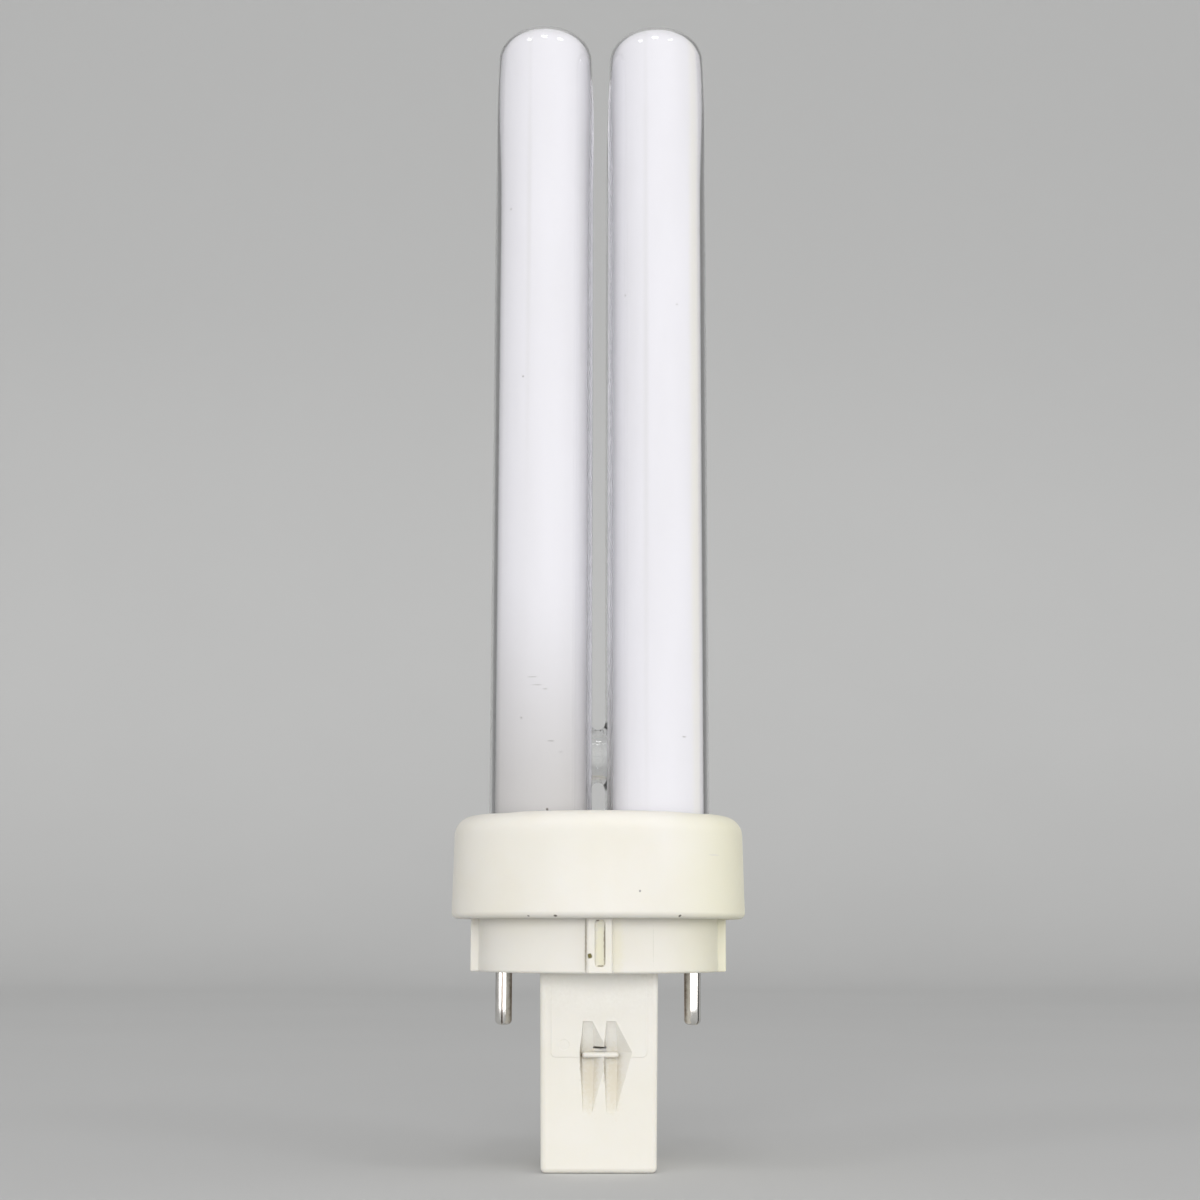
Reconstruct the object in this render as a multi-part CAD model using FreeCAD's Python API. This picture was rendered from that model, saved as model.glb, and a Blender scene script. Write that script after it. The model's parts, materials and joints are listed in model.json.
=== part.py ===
import FreeCAD, Part
import math
import os

# Plug-in fluorescent lamp: four glass legs joined into two U tubes, on a keyed base with two pins.
# Millimetres. +Z runs up the legs, the origin is on the lamp's axis at the seat, which is the flat
# lower face of the drum, and -Y is the front.

# Glass legs and the bridges between them
tube_diameter = 12.0
tube_pitch = 13.75            # between leg axes, across and front to back
exposed_length = 96.9         # from the collar's top to the tip of a leg
dome_height = 5.0
dome_fullness = 2.5           # 2 is an ellipse, more is squarer
leg_tail = 4.75               # leg inside the collar, below its top wall
bridge_diameter = 6.6
top_bridge_drop = 12.0        # below the tip of a leg
low_bridge_rise = 7.85        # above the collar's top

# Pinch seals under the front legs, where the lead wires come out
pinch_width = 6.4
pinch_thickness = 2.2
pinch_length = 3.4
lead_spacing = 3.2            # between the two wires of one seal

# Collar
collar_height = 12.2
collar_wall = 1.6
collar_top_wall = 2.0
collar_top_round = 2.3
collar_lip_round = 0.6
leg_room = 0.15               # between a leg and the collar's skirt

# Drum, its flange inside the collar and its four slotted pads
drum_height = 6.15            # from the seat to the collar's lower edge
drum_wall = 1.25
drum_floor = 1.6
drum_edge_round = 0.3
flange_recess = 0.2           # the flange lies this far above the collar's lower edge
flange_thickness = 1.5
flange_ledge = 0.4            # flange that shows outside the pads
pad_height = 0.9
pad_face_width = 2.75
pad_root_width = 3.1
pad_edge_bevel = 0.2
slot_width = 1.2
slot_depth = 0.45
slot_margin_low = 0.75        # from the seat to the slot
slot_margin_high = 0.15       # from the slot to the collar's lower edge
slot_round = 0.4

# Contact pins
pin_spacing = 22.4
pin_diameter = 2.0
pin_length = 6.2              # below the seat
pin_nose_round = 0.55
pin_neck_diameter = 1.7       # through the drum's floor
pin_head_diameter = 2.9
pin_head_thickness = 0.5
pin_head_room = 0.35          # between a pin's head and the drum's wall
pin_bore_clearance = 0.1      # around the lead wire
pin_bore_depth = 1.8          # for the lead wire, from the top of the head
pin_hole_clearance = 0.02
seam_width = 0.14             # where the rolled sheet's edges meet
seam_depth = 0.3
seam_notch_width = 0.36
seam_notch_height = 0.45

# Keyed post
post_width = 13.6             # at the seat
post_taper = 0.4              # lost from the width down to the end
post_depth = 16.2
post_length = 22.4
post_corner_round = 0.7
post_end_bevel = 0.4
post_wall = 1.4
post_floor = 1.6
panel_width = 11.0            # raised moulding panel above the parting line
panel_length = 9.5
panel_height = 0.08
panel_round = 0.5

# Latch notch: two saw-tooth grooves with a bar across their deepest line
notch_left = -1.84            # left edge of the first groove's floor
notch_spacing = 2.69          # from the first groove to the second
notch_top = 5.45              # below the seat
notch_deepest = 8.95
notch_bottom = 15.6
notch_depth = 1.75
notch_backing = 1.4           # wall left behind the notch
notch_end_width = 1.08        # groove floor at its ends
notch_floor_width = 1.33      # groove floor at its deepest line
notch_wall_slope = 0.4        # how far the steep side leans at its deepest
notch_ramp = 1.62             # how far the shallow side reaches past the floor
bar_height = 0.62
bar_rise = 0.75               # above the deepest line
bar_round = 0.28
pocket_width = 1.5            # small pocket over the bar, beside the second groove
pocket_height = 0.6

# Starter and wiring
lead_diameter = 0.6
lead_stub = 1.5               # straight stretch at each end of a lead
starter_lead_spacing = 2.0
bottle_diameter = 6.0
bottle_length = 13.0
bottle_press_width = 4.2
bottle_press_thickness = 1.6
bottle_press_length = 2.4
capacitor_width = 7.0
capacitor_thickness = 3.2
capacitor_height = 4.6
capacitor_setback = 0.8       # from the post's cavity to the capacitor
capacitor_lead_height = 1.2   # above the drum's floor

# How many straight bands a turned round is made of
dome_bands = 5
shoulder_bands = 4

# Places that follow from the sizes above
tube_radius = tube_diameter / 2
leg_offset = tube_pitch / 2
drum_radius = pin_spacing / 2 + pin_head_diameter / 2 + pin_head_room + drum_wall
drum_inner_radius = drum_radius - drum_wall
pad_reach = drum_radius + pad_height
legs_reach = math.hypot(leg_offset, leg_offset) + tube_radius
collar_bore = max(legs_reach + leg_room, pad_reach + flange_ledge)
collar_bottom = drum_height
collar_top = collar_bottom + collar_height
collar_underside = collar_top - collar_top_wall
glass_top = collar_top + exposed_length
top_bridge_z = glass_top - top_bridge_drop
low_bridge_z = collar_top + low_bridge_rise
leg_bottom = collar_underside - leg_tail
pinch_bottom = leg_bottom - pinch_length
flange_bottom = collar_bottom + flange_recess
flange_top = flange_bottom + flange_thickness
pin_radius = pin_diameter / 2
pin_neck_radius = pin_neck_diameter / 2
pin_bore_radius = lead_diameter / 2 + pin_bore_clearance
pin_head_top = drum_floor + pin_head_thickness
pin_bore_bottom = pin_head_top - pin_bore_depth
cavity_width = post_width - post_taper - 2 * post_wall
cavity_depth = post_depth - 2 * (notch_depth + notch_backing)
cavity_bottom = post_floor - post_length
bottle_top = cavity_bottom + bottle_length + bottle_press_length

origin = FreeCAD.Vector(0, 0, 0)
up = FreeCAD.Vector(0, 0, 1)
across = FreeCAD.Vector(1, 0, 0)
backward = FreeCAD.Vector(0, 1, 0)


def vector(x, y, z):
    return FreeCAD.Vector(x, y, z)


def rounding(start, tip, end, bands=1, fullness=2.0):
    """Points of a quarter round from start to end that bulges towards the tip, on a superellipse.

    With one band it is a bevel.
    """
    centre = [start[i] + end[i] - tip[i] for i in (0, 1)]
    first = [start[i] - centre[i] for i in (0, 1)]
    last = [end[i] - centre[i] for i in (0, 1)]
    points = []
    for step in range(bands + 1):
        angle = math.pi / 2 * step / bands
        along = abs(math.cos(angle)) ** (2 / fullness) if step < bands else 0.0
        over = math.sin(angle) ** (2 / fullness)
        points.append(tuple(centre[i] + along * first[i] + over * last[i] for i in (0, 1)))
    return points


def turned(points):
    """Solid of revolution about Z from the corners of a profile, given as radius and height."""
    corners = [vector(radius, 0, z) for radius, z in points + points[:1]]
    return Part.Face(Part.makePolygon(corners)).revolve(origin, up, 360)


def rounded_rectangle(width, depth, radius, z):
    """Wire of a rectangle with round corners, level at height z."""
    x = width / 2
    y = depth / 2
    inner = radius * (1 - math.sqrt(0.5))
    edges = []
    for sx, sy in ((1, 1), (-1, 1), (-1, -1), (1, -1)):
        first = vector(sx * x, sy * (y - radius), z)
        second = vector(sx * (x - radius), sy * y, z)
        if sx * sy < 0:
            first, second = second, first
        middle = vector(sx * (x - inner), sy * (y - inner), z)
        if edges:
            edges.append(Part.LineSegment(edges[-1].lastVertex().Point, first).toShape())
        edges.append(Part.Arc(first, middle, second).toShape())
    edges.append(Part.LineSegment(edges[-1].lastVertex().Point, edges[0].firstVertex().Point).toShape())
    return Part.Wire(edges)


def block(width, depth, bottom, top):
    """Upright block with sharp corners, centred on the Z axis."""
    return Part.makeBox(width, depth, top - bottom, vector(-width / 2, -depth / 2, bottom))


def rounded_prism(width, depth, radius, bottom, top):
    """Upright block with round corners, centred on the Z axis."""
    face = Part.Face(rounded_rectangle(width, depth, radius, bottom))
    return face.extrude(vector(0, 0, top - bottom))


def moved(shape, x, y, z=0.0):
    """A copy of the shape, shifted."""
    copy = shape.copy()
    copy.translate(vector(x, y, z))
    return copy


def turned_about_axis(shape, degrees):
    """A copy of the shape, turned about the lamp's axis."""
    copy = shape.copy()
    copy.rotate(origin, up, degrees)
    return copy


def front_and_back(shape):
    """The shape and its twin on the other side of the lamp."""
    return [shape, turned_about_axis(shape, 180)]


def polyhedron(faces):
    """Solid bounded by flat faces, each a list of corner points."""
    shell = Part.Shell([Part.Face(Part.makePolygon(face + face[:1])) for face in faces])
    solid = Part.Solid(shell)
    if solid.Volume < 0:
        solid.reverse()
    return solid


leg_places = [(sx * leg_offset, sy * leg_offset) for sx in (-1, 1) for sy in (-1, 1)]
front_places = [place for place in leg_places if place[1] < 0]


def leg():
    """One leg on the Z axis, domed at its top."""
    dome = rounding((tube_radius, glass_top - dome_height), (tube_radius, glass_top), (0, glass_top),
                    dome_bands, dome_fullness)
    return turned([(0, leg_bottom), (tube_radius, leg_bottom)] + dome)


def bridges():
    """The bridge at the top of each front-to-back pair, and the one that joins the rear legs low down."""
    radius = bridge_diameter / 2
    tops = [Part.makeCylinder(radius, tube_pitch, vector(x, -leg_offset, top_bridge_z), backward)
            for x in (-leg_offset, leg_offset)]
    low = Part.makeCylinder(radius, tube_pitch, vector(-leg_offset, leg_offset, low_bridge_z), across)
    return tops + [low]


def discharge_tube():
    """Sealed glass: four legs and their bridges, with a flat pinch seal under each front leg."""
    legs = [moved(leg(), x, y) for x, y in leg_places]
    press = block(pinch_width, pinch_thickness, pinch_bottom, leg_bottom + pinch_thickness)
    presses = [moved(press, x, y) for x, y in front_places]
    return legs[0].multiFuse(legs[1:] + bridges() + presses).removeSplitter()


def base_collar():
    """Round cup whose top holds each leg in a socket."""
    radius = collar_bore + collar_wall
    lip = rounding((radius - collar_lip_round, collar_bottom), (radius, collar_bottom),
                   (radius, collar_bottom + collar_lip_round))
    shoulder = rounding((radius, collar_top - collar_top_round), (radius, collar_top),
                        (radius - collar_top_round, collar_top), shoulder_bands)
    cup = turned([(collar_bore, collar_bottom)] + lip + shoulder
                 + [(0, collar_top), (0, collar_underside), (collar_bore, collar_underside)])
    socket = Part.makeCylinder(tube_radius, 2 * collar_top_wall,
                               vector(0, 0, collar_underside - collar_top_wall / 2))
    return cup.cut([moved(socket, x, y) for x, y in leg_places])


def slotted_pad():
    """Raised pad at the front of the drum, and the slot to cut into it."""
    root = -(drum_radius - drum_wall / 2)
    plan = [(-pad_root_width / 2, root), (pad_root_width / 2, root),
            (pad_face_width / 2, -pad_reach), (-pad_face_width / 2, -pad_reach)]
    wire = Part.makePolygon([vector(x, y, 0) for x, y in plan + plan[:1]])
    pad = Part.Face(wire).extrude(vector(0, 0, flange_bottom))
    outer = [edge for edge in pad.Edges
             if all(abs(vertex.Y + pad_reach) < 1e-6 for vertex in edge.Vertexes)
             and min(vertex.Z for vertex in edge.Vertexes) < 1e-6]
    pad = pad.makeChamfer(pad_edge_bevel, outer)
    height = drum_height - slot_margin_low - slot_margin_high
    slot = rounded_prism(slot_width, height, slot_round, -slot_depth, slot_depth)
    slot.rotate(origin, across, 90)
    slot.translate(vector(0, -pad_reach, slot_margin_low + height / 2))
    return pad, slot


def drum_with_flange():
    """Drum, open at its top, with the flange that closes the collar."""
    edge = rounding((drum_radius - drum_edge_round, 0), (drum_radius, 0),
                    (drum_radius, drum_edge_round))
    return turned([(0, 0)] + edge + [
        (drum_radius, flange_bottom), (collar_bore, flange_bottom), (collar_bore, flange_top),
        (drum_inner_radius, flange_top), (drum_inner_radius, drum_floor), (0, drum_floor)])


def post_outside():
    """Keyed post, narrower at its end, with a raised panel on its front and back."""
    end_width = post_width - post_taper
    sections = [rounded_rectangle(post_width, post_depth, post_corner_round, 0),
                rounded_rectangle(end_width, post_depth, post_corner_round, -post_length)]
    post = Part.makeLoft(sections, True, True)
    end_edges = [edge for edge in post.Edges
                 if all(abs(vertex.Z + post_length) < 1e-6 for vertex in edge.Vertexes)]
    post = post.makeChamfer(post_end_bevel, end_edges)
    panel = rounded_prism(panel_width, 2 * panel_length, panel_round, 0, panel_height + post_corner_round)
    panel.rotate(origin, across, 90)
    panel.translate(vector(0, post_corner_round - post_depth / 2, 0))
    below_seat = Part.makeBox(2 * panel_width, post_depth, panel_length + panel_round,
                              vector(-panel_width, -post_depth, -panel_length - panel_round))
    return post.multiFuse(front_and_back(panel.common(below_seat)))


def groove(left):
    """One saw-tooth groove of the latch notch, drawn out past the post's face."""
    face = -post_depth / 2
    outside = face - 2 * panel_height - notch_depth
    floor = face + notch_depth
    rim = [(left, -notch_top), (left + notch_end_width, -notch_top),
           (left + notch_floor_width + notch_ramp, -notch_deepest),
           (left + notch_end_width, -notch_bottom), (left, -notch_bottom),
           (left - notch_wall_slope, -notch_deepest)]
    outer = [vector(x, outside, z) for x, z in rim]
    inner = [vector(x, face, z) for x, z in rim]
    low_left = vector(left, floor, -notch_deepest)
    low_right = vector(left + notch_floor_width, floor, -notch_deepest)
    sides = [[outer[i], outer[(i + 1) % 6], inner[(i + 1) % 6], inner[i]] for i in range(6)]
    bottoms = [[inner[0], inner[1], low_right, low_left], [inner[3], inner[4], low_left, low_right],
               [inner[1], inner[2], low_right], [inner[2], inner[3], low_right],
               [inner[4], inner[5], low_left], [inner[5], inner[0], low_left]]
    return polyhedron(sides + bottoms + [outer])


def notch_bar():
    """Bar across the deepest line of both grooves, with its front edges rounded."""
    floor = notch_depth - post_depth / 2
    length = notch_spacing + notch_floor_width
    back = floor + notch_backing / 2
    bar = Part.makeBox(length, back - floor + bar_rise, bar_height,
                       vector(notch_left, floor - bar_rise, -notch_deepest - bar_height))
    front = [edge for edge in bar.Edges
             if all(abs(vertex.Y - floor + bar_rise) < 1e-6 for vertex in edge.Vertexes)
             and edge.BoundBox.XLength > length / 2]
    return bar.makeFillet(bar_round, front)


def notch_pocket():
    """Small square pocket over the bar, up against the second groove."""
    face = -post_depth / 2
    right = notch_left + notch_spacing
    return Part.makeBox(pocket_width, notch_depth + panel_height, pocket_height,
                        vector(right - pocket_width, face - panel_height, -notch_deepest))


def base_shell():
    """Drum, pads and keyed post, moulded as one piece."""
    pad, slot = slotted_pad()
    quarter_turns = (0, 90, 180, 270)
    pads = [turned_about_axis(pad, angle) for angle in quarter_turns]
    shell = drum_with_flange().multiFuse([post_outside()] + pads)
    cavity = block(cavity_width, cavity_depth, cavity_bottom, 2 * drum_floor)
    pin_hole = Part.makeCylinder(pin_neck_radius + pin_hole_clearance, 2 * drum_floor,
                                 vector(0, 0, -drum_floor / 2))
    cuts = [cavity] + [turned_about_axis(slot, angle) for angle in quarter_turns]
    cuts += [moved(pin_hole, side * pin_spacing / 2, 0) for side in (-1, 1)]
    for tool in (groove(notch_left), groove(notch_left + notch_spacing), notch_pocket()):
        cuts += front_and_back(tool)
    return shell.cut(cuts).multiFuse(front_and_back(notch_bar())).removeSplitter()


def contact_pin(side):
    """Rolled pin with a shoulder at the seat, a head riveted on the drum's floor and a seam in front."""
    nose = -pin_length
    head_radius = pin_head_diameter / 2
    tip = rounding((pin_radius - pin_nose_round, nose), (pin_radius, nose),
                   (pin_radius, nose + pin_nose_round))
    pin = turned([(0, nose)] + tip + [
        (pin_radius, 0), (pin_neck_radius, 0), (pin_neck_radius, drum_floor),
        (head_radius, drum_floor), (head_radius, pin_head_top),
        (pin_bore_radius, pin_head_top), (pin_bore_radius, pin_bore_bottom), (0, pin_bore_bottom)])
    seam = Part.makeBox(seam_width, seam_depth + pin_radius, pin_length,
                        vector(-seam_width / 2, -2 * pin_radius, nose))
    notch = Part.makeBox(seam_notch_width, seam_depth + pin_radius, 2 * seam_notch_height,
                         vector(-seam_notch_width / 2, -2 * pin_radius, nose - seam_notch_height))
    return moved(pin.cut([seam, notch]), side * pin_spacing / 2, 0)


def wire_along(points):
    """Stiff round wire through points, with mitred bends."""
    section = Part.Wire(Part.makeCircle(lead_diameter / 2, points[0], points[1] - points[0]))
    right_corner = 1
    return Part.makePolygon(points).makePipeShell([section], True, False, right_corner)


def seal_wire(side, place):
    """Where a lead leaves the pinch seal on one side: place 1 is the outer wire, -1 the inner one."""
    return vector(side * (leg_offset + place * lead_spacing / 2), -leg_offset, pinch_bottom)


def pin_lead(side):
    """Lead from a pinch seal into the bore of its pin."""
    start = seal_wire(side, 1)
    end = vector(side * pin_spacing / 2, 0, pin_bore_bottom)
    above_pin = vector(end.x, end.y, pin_head_top + lead_stub)
    return wire_along([start, start - up * lead_stub, above_pin, end])


def starter_lead(side):
    """Lead from a pinch seal down to the press of the starter bottle."""
    start = seal_wire(side, -1)
    end = vector(side * starter_lead_spacing / 2, 0, bottle_top)
    above_bottle = vector(end.x, end.y, pin_head_top + lead_stub)
    return wire_along([start, start - up * lead_stub, above_bottle, end])


def starter_bottle():
    """Glow switch: a small glass bottle that stands on the post's floor, pressed flat at its top."""
    bottle = Part.makeCylinder(bottle_diameter / 2, bottle_length, vector(0, 0, cavity_bottom))
    press = block(bottle_press_width, bottle_press_thickness, cavity_bottom + bottle_length / 2, bottle_top)
    return bottle.fuse(press)


def starter_capacitor():
    """Suppressor capacitor on the drum's floor, with its two leads to the starter's."""
    near = cavity_depth / 2 + capacitor_setback
    body = block(capacitor_width, capacitor_thickness, drum_floor, drum_floor + capacitor_height)
    body = moved(body, 0, near + capacitor_thickness / 2)
    radius = lead_diameter / 2
    height = drum_floor + capacitor_lead_height
    leads = [Part.makeCylinder(radius, near + capacitor_thickness / 2 - radius,
                               vector(side * starter_lead_spacing / 2, radius, height), backward)
             for side in (-1, 1)]
    return body.multiFuse(leads)


nodes = {
    "discharge_tube": discharge_tube(),
    "base_collar": base_collar(),
    "base_shell": base_shell(),
    "contact_pin_left": contact_pin(-1),
    "contact_pin_right": contact_pin(1),
    "starter_bottle": starter_bottle(),
    "starter_capacitor": starter_capacitor(),
    "pin_lead_left": pin_lead(-1),
    "pin_lead_right": pin_lead(1),
    "starter_lead_left": starter_lead(-1),
    "starter_lead_right": starter_lead(1),
}

os.makedirs("parts", exist_ok=True)
for name, shape in nodes.items():
    shape.exportStep(os.path.join("parts", name + ".step"))
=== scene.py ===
"""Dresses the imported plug-in fluorescent lamp: glass, powder, mouldings, pins, and a plain studio."""

import json
import logging
from dataclasses import dataclass, field
from enum import Enum
from math import asin, copysign, cos, hypot, pi, radians, sin, sqrt
from typing import Callable, Iterable, Sequence

import bmesh
import bpy
from mathutils import Matrix, Vector

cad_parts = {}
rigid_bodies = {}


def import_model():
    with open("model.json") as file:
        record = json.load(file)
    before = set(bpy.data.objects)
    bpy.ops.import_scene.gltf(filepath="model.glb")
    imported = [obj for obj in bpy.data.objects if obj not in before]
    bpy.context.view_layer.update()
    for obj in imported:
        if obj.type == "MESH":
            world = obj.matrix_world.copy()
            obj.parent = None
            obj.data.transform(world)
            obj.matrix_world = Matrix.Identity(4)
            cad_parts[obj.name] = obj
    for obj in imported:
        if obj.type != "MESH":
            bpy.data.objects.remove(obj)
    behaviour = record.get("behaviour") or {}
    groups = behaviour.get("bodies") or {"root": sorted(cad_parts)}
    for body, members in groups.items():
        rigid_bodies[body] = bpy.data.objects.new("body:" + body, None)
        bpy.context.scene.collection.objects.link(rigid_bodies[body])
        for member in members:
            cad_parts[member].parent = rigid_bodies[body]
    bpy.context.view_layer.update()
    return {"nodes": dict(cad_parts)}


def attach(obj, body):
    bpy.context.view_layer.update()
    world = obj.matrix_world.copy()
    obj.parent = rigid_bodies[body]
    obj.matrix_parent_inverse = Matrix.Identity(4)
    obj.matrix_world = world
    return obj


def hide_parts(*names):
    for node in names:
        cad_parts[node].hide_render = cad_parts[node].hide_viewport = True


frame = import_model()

LOG = logging.getLogger("lamp")
MM = 0.001
BODY = "root"
ON_AXIS = 1e-9
WELD = 1e-7
SHARP = 35.0
MOULDED_SHARP = 13.0

Point = tuple[float, float, float]
Flat = tuple[float, float]
Profile = list[Flat]
Colour = tuple[float, float, float]
Inputs = dict[int | str, object]
Piece, Material = bpy.types.Object, bpy.types.Material
Tree, Node, Socket = bpy.types.NodeTree, bpy.types.Node, bpy.types.NodeSocket


class Side(Enum):
    """Left or right of the lamp, as the front is looked at."""

    LEFT = -1
    RIGHT = 1


class Layer(Enum):
    """Skins of the tubes, as how many walls and gaps lie outside each."""

    OUTER = (0, 0)
    INNER = (1, 0)
    POWDER = (1, 1)


class Join(Enum):
    """How forms are combined with a piece."""

    ADD = "UNION"
    CUT = "DIFFERENCE"


class Sketch:
    """Points and faces of one mesh, in millimetres, before it becomes an object."""

    def __init__(self) -> None:
        """Starts with no points and no faces."""
        self.points: list[Point] = []
        self.faces: list[tuple[int, ...]] = []
        self.inward = False

    def point(self, x: float, y: float, z: float) -> int:
        """Adds a point and returns its number."""
        self.points.append((x, y, z))
        return len(self.points) - 1

    def ring(self, radius: float, z: float, count: int, axis: Flat) -> list[int]:
        """Adds a level ring of points about an upright axis and returns their numbers."""
        turns = [2 * pi * k / count for k in range(count)]
        return [self.point(axis[0] + radius * cos(t), axis[1] + radius * sin(t), z) for t in turns]

    def face(self, *corners: int) -> None:
        """Adds a face, turned over where the sketch faces inward."""
        self.faces.append(corners[::-1] if self.inward else corners)

    def join(self, lower: Sequence[int], upper: Sequence[int]) -> None:
        """Joins two closed rings of as many points. Either may be a single point instead.

        Args:
            lower, upper: numbers of their points.
        """
        below, above = len(lower), len(upper)
        count = max(below, above)
        for k in range(count if count > 1 else 0):
            after = (k + 1) % count
            corners = (lower[k % below], lower[after % below], upper[after % above], upper[k % above])
            self.face(*dict.fromkeys(corners))

    def chain(self, rings: Sequence[Sequence[int]]) -> None:
        """Joins rings one after another."""
        for lower, upper in zip(rings, rings[1:]):
            self.join(lower, upper)

    def lathe(self, profile: Profile, segments: int, centre: Flat = (0.0, 0.0)) -> "Sketch":
        """Turns a profile about an upright axis.

        Args:
            profile: radius and height of each corner, from the lower end out, up and back to the axis.
            segments: number of flat sides.
            centre: where the axis stands.

        Returns:
            The sketch.
        """
        self.chain([self.ring(r, z, segments if r > ON_AXIS else 1, centre) for r, z in profile])
        return self

    def rounded_block(self, low: Point, high: Point, radius: float, steps: int) -> "Sketch":
        """Adds a closed block with rounded edges.

        Args:
            low, high: opposite corners.
            radius: of the edges.
            steps: flat bands in each round.

        Returns:
            The sketch.
        """
        work = bmesh.new()
        size = [high[i] - low[i] for i in range(3)]
        middle = [(high[i] + low[i]) / 2 for i in range(3)]
        form = Matrix.Translation(middle) @ Matrix.Diagonal((*size, 1.0))
        bmesh.ops.create_cube(work, size=1.0, matrix=form)
        bmesh.ops.bevel(work, geom=list(work.edges), offset=radius, segments=steps, profile=0.5,
                        affect="EDGES")
        base = len(self.points)
        work.verts.index_update()
        self.points += [tuple(v.co) for v in work.verts]
        self.faces += [tuple(base + v.index for v in f.verts) for f in work.faces]
        work.free()
        return self

    def stack(self, rings: Sequence[Sequence[Point]]) -> "Sketch":
        """Joins rings of as many points one after another, and closes both ends.

        Args:
            rings: places of their points.

        Returns:
            The sketch.
        """
        numbers = [[self.point(*place) for place in ring] for ring in rings]
        self.chain(numbers)
        self.face(*numbers[0][::-1])
        self.face(*numbers[-1])
        return self

    def turned(self, quarters: int) -> "Sketch":
        """A copy turned by quarter turns about the lamp's axis.

        Args:
            quarters: how many quarter turns.

        Returns:
            The copy.
        """
        copy = Sketch()
        across, along = ((1, 0), (0, 1), (-1, 0), (0, -1))[quarters % 4]
        copy.points = [(x * across - y * along, x * along + y * across, z) for x, y, z in self.points]
        copy.faces = list(self.faces)
        return copy

    def piece(self, name: str, sharp_degrees: float = SHARP, closed: bool = False) -> Piece:
        """Makes the object, in metres, with its doubled points joined, and puts it in the scene.

        Args:
            name: of the object and its mesh.
            sharp_degrees: edges that turn by more than this stay sharp.
            closed: whether to turn the faces of a closed form outward.

        Returns:
            The new object.
        """
        mesh = bpy.data.meshes.new(name)
        mesh.from_pydata([(x * MM, y * MM, z * MM) for x, y, z in self.points], [], self.faces)
        work = bmesh.new()
        work.from_mesh(mesh)
        bmesh.ops.remove_doubles(work, verts=list(work.verts), dist=WELD)
        if closed:
            bmesh.ops.recalc_face_normals(work, faces=list(work.faces))
        work.to_mesh(mesh)
        work.free()
        mesh.shade_smooth()
        mesh.set_sharp_from_angle(angle=radians(sharp_degrees))
        piece = bpy.data.objects.new(name, mesh)
        bpy.context.scene.collection.objects.link(piece)
        return piece


def arc(centre: Flat, radius: float, start: float, end: float, steps: int) -> Profile:
    """Points of an arc in a profile.

    Args:
        centre: radius and height of the arc's centre.
        radius: of the arc.
        start, end: angles in degrees, 0 pointing away from the axis and 90 up.
        steps: number of straight bands.

    Returns:
        The points from start to end.
    """
    turns = [radians(start + (end - start) * k / steps) for k in range(steps + 1)]
    return [(centre[0] + radius * cos(t), centre[1] + radius * sin(t)) for t in turns]


def rounded_outline(half_width: float, half_height: float, radius: float, steps: int = 8) -> Profile:
    """Corner points of a rectangle with round corners, anticlockwise about its middle.

    Args:
        half_width, half_height: half its sizes.
        radius: of its corners.
        steps: straight bands in each corner.

    Returns:
        The points.
    """
    points: Profile = []
    for quarter, (sx, sy) in enumerate(((1, 1), (-1, 1), (-1, -1), (1, -1))):
        centre = (sx * (half_width - radius), sy * (half_height - radius))
        points += arc(centre, radius, 90 * quarter, 90 * quarter + 90, steps)
    return points


def bake(piece: Piece) -> None:
    """Applies a piece's modifiers to its mesh.

    Args:
        piece: the object.
    """
    bpy.context.view_layer.update()
    result = bpy.data.meshes.new_from_object(piece.evaluated_get(bpy.context.evaluated_depsgraph_get()))
    piece.modifiers.clear()
    old = piece.data
    piece.data = result
    bpy.data.meshes.remove(old)
    result.name = piece.name


def combine(piece: Piece, forms: Iterable[Sketch], how: Join) -> None:
    """Adds closed forms to a piece or cuts them out of it.

    Args:
        piece: the object that changes.
        forms: sketches of the forms.
        how: added or cut.
    """
    tools = [form.piece("tool", closed=True) for form in forms]
    for tool in tools:
        step = piece.modifiers.new("step", "BOOLEAN")
        step.operation = how.value
        step.solver = "EXACT"
        step.object = tool
    bake(piece)
    for tool in tools:
        bpy.data.meshes.remove(tool.data)


def shade_evenly(piece: Piece) -> None:
    """Shades a moulding smooth round its edges, and keeps its broad faces flat.

    Args:
        piece: the object.
    """
    piece.data.shade_smooth()
    piece.data.set_sharp_from_angle(angle=radians(MOULDED_SHARP))
    step = piece.modifiers.new("even", "WEIGHTED_NORMAL")
    step.keep_sharp = True
    step.weight = 80
    bake(piece)


def soften(node: Piece, sharp_degrees: float) -> None:
    """Shades a CAD node smooth across its shallow edges. Its points stay as they are.

    Args:
        node: the CAD node's object.
        sharp_degrees: faces that turn by more than this keep a sharp edge between them.
    """
    mesh = node.data
    limit = cos(radians(sharp_degrees))
    around: dict[tuple[int, ...], list[bpy.types.MeshPolygon]] = {}
    keys = [tuple(round(c / WELD) for c in v.co) for v in mesh.vertices]
    corners = [(polygon, keys[index]) for polygon in mesh.polygons for index in polygon.vertices]
    for polygon, key in corners:
        around.setdefault(key, []).append(polygon)
    normals: list[Vector] = []
    for polygon, key in corners:
        near = [other for other in around[key] if other.normal.dot(polygon.normal) > limit]
        total = sum((other.normal * other.area for other in near), Vector())
        normals.append(total.normalized() if total.length else polygon.normal.copy())
    mesh.shade_smooth()
    mesh.normals_split_custom_set(normals)


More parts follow.
